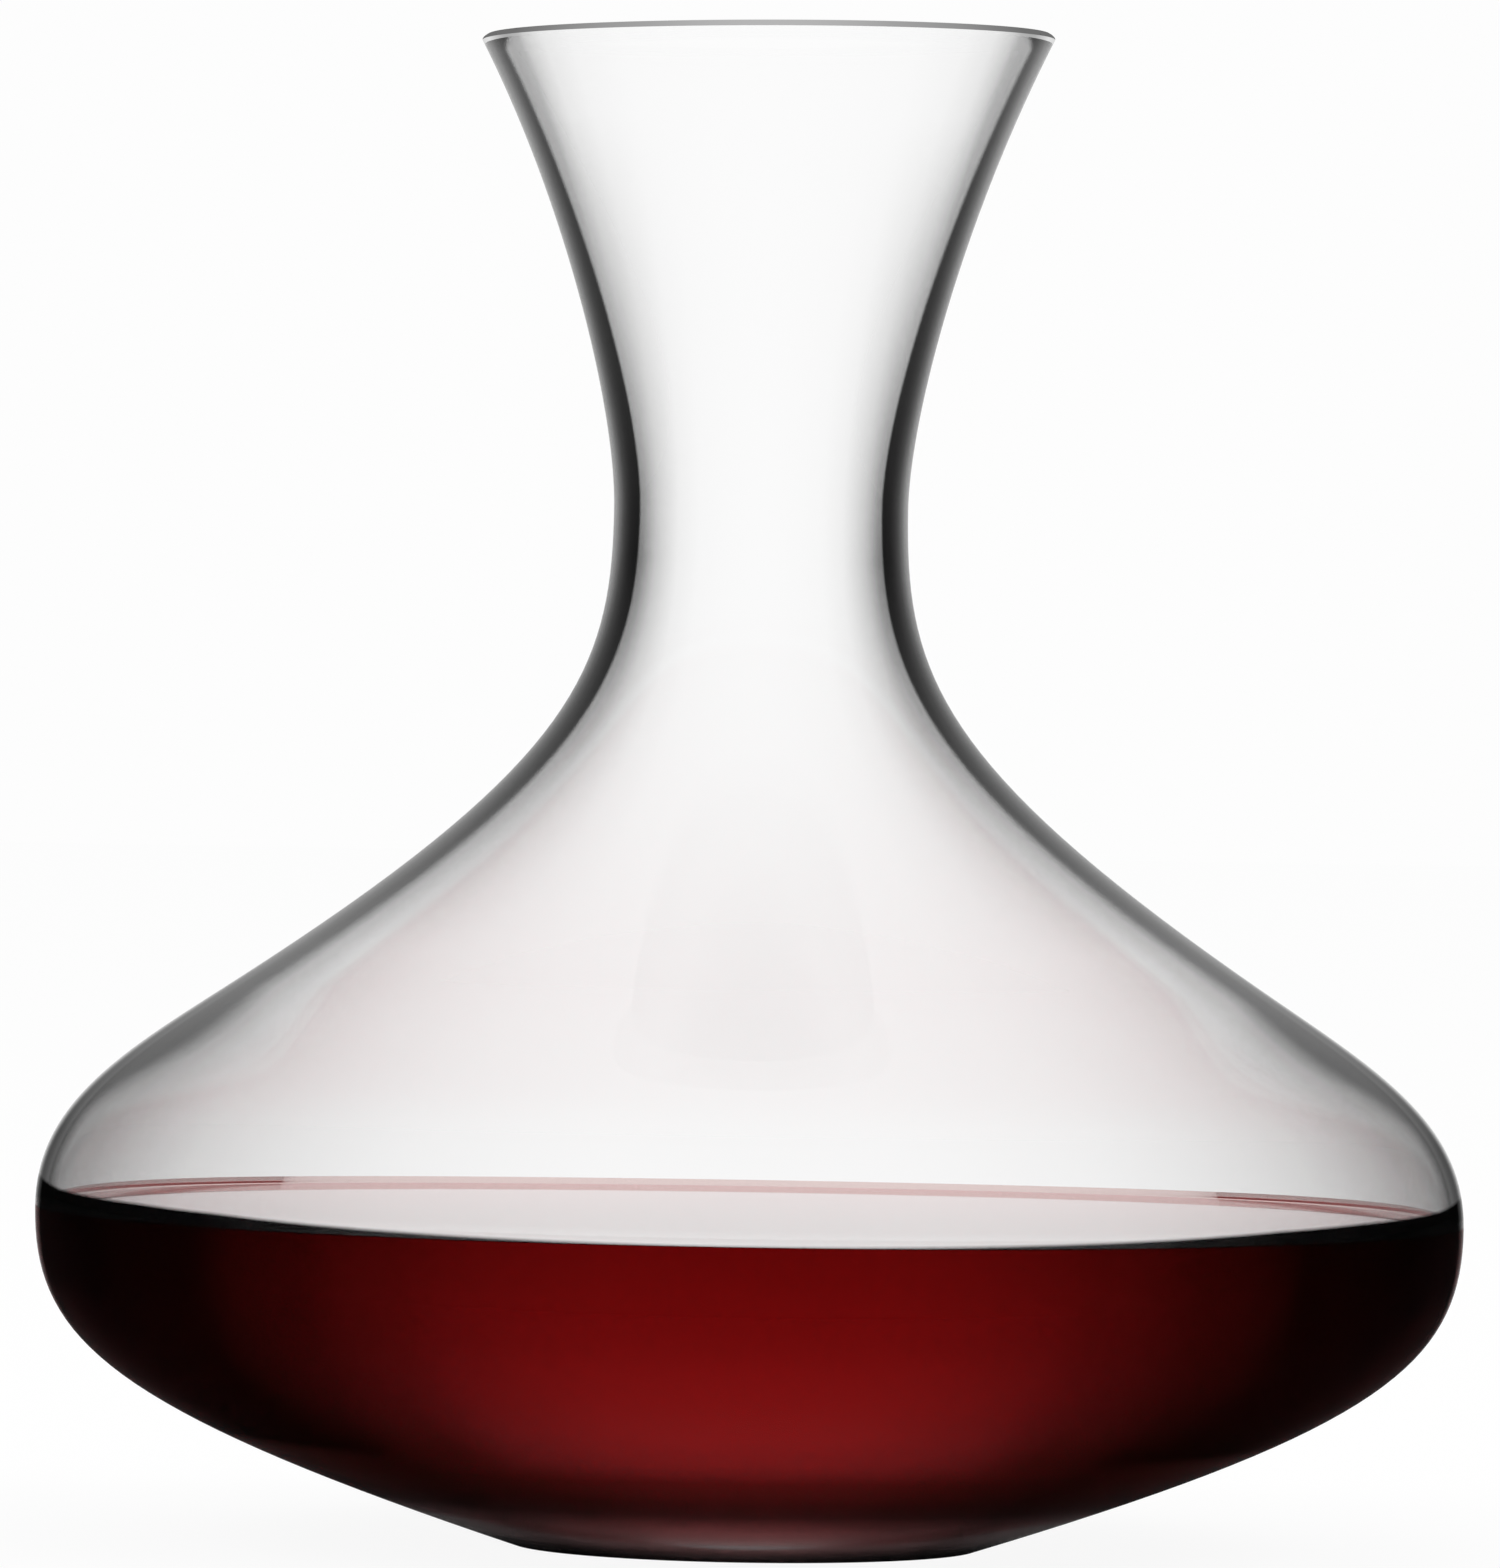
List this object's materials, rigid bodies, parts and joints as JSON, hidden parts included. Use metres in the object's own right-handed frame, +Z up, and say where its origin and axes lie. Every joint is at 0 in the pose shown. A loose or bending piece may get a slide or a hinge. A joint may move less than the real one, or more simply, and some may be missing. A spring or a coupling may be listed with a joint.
{
  "type": "wine decanter",
  "caption": "Clear blown-glass decanter with a flared mouth, narrow neck and wide low belly, standing with red wine up to its widest level.",
  "frame": {"origin": "middle of the foot, on the surface that the decanter stands on", "axes": "+Z up along the axis of revolution, from the foot to the mouth; X and Y are level and interchangeable"},
  "size_m": [0.1956, 0.1956, 0.2079],
  "materials": {
    "clear_glass": "colourless fire-polished glass",
    "red_wine_liquid": "still liquid, glossy top, deep red"
  },
  "bodies": {
    "root": {"glass_vessel": "clear_glass", "red_wine": "red_wine_liquid"}
  },
  "joints": []
}
